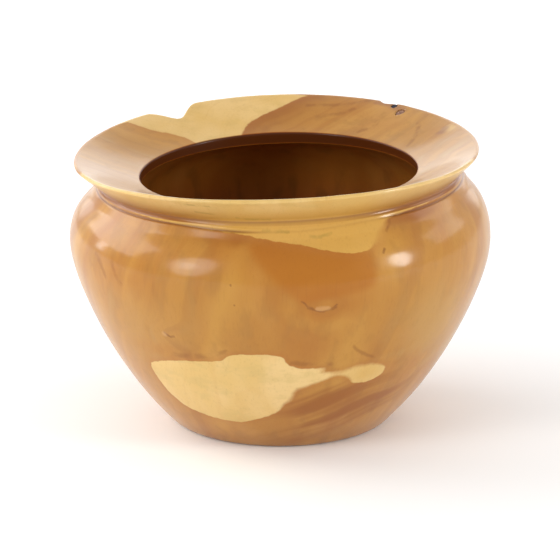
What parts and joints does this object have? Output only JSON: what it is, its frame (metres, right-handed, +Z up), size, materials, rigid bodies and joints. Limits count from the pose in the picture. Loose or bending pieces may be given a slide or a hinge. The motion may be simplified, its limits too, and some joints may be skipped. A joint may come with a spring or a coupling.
{
  "type": "wooden bowl",
  "caption": "Round turned and carved teak-root bowl with a full belly, drawn-in neck, wide flared rim with a natural notch, and an undercut hollow.",
  "frame": {"origin": "centre of the flat foot, on the surface that the bowl stands on", "axes": "+Z up along the turning axis; -Y is the front; the rim's notch and bark are at the back, +Y, with the notch towards -X and the bark towards +X"},
  "size_m": [0.2988, 0.2988, 0.2001],
  "materials": {
    "lacquered_teak": "teak root, orange-brown heartwood with yellow sapwood patches, hand-sanded, clear satin-gloss lacquer",
    "bark": "dark dry bark, rough and unlacquered"
  },
  "bodies": {
    "root": {"bowl_body": "lacquered_teak", "bark_sliver_outer": "bark", "bark_sliver_inner": "bark"}
  },
  "joints": []
}
